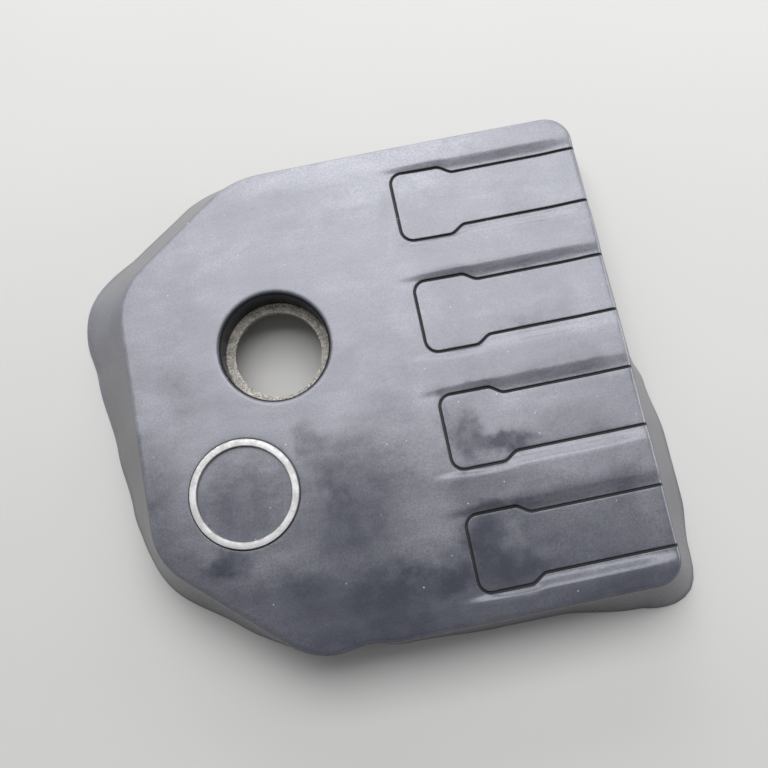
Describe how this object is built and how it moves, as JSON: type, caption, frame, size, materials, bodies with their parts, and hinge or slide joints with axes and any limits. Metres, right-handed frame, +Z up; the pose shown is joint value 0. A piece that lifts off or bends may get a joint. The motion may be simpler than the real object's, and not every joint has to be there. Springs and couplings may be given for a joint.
{
  "type": "engine cover",
  "caption": "Moulded engine cover with four outlined fields, a round filler opening, a bright badge ring, a foam absorber and rubber ball sockets.",
  "frame": {"origin": "middle of the outline of the skirt's foot, on the surface that the cover rests on", "axes": "+X along the four fields towards their open ends, +Y from the front edge to the rear edge, +Z up through the panel"},
  "size_m": [0.3242, 0.303, 0.045],
  "materials": {
    "shell_plastic": "satin grained dark grey, dusty",
    "ring_silver": "satin",
    "absorber_foam": "matte speckled foam",
    "socket_rubber": "matte",
    "retainer_steel": "satin"
  },
  "bodies": {
    "root": {"cover_shell": "shell_plastic", "badge_ring": "ring_silver", "sound_absorber": "absorber_foam", "grommet_front_left": "socket_rubber", "grommet_front_right": "socket_rubber", "grommet_rear_left": "socket_rubber", "grommet_rear_right": "socket_rubber", "foam_retainer_1": "retainer_steel", "foam_retainer_2": "retainer_steel", "foam_retainer_3": "retainer_steel", "foam_retainer_4": "retainer_steel", "foam_retainer_5": "retainer_steel", "foam_retainer_6": "retainer_steel"}
  },
  "joints": []
}
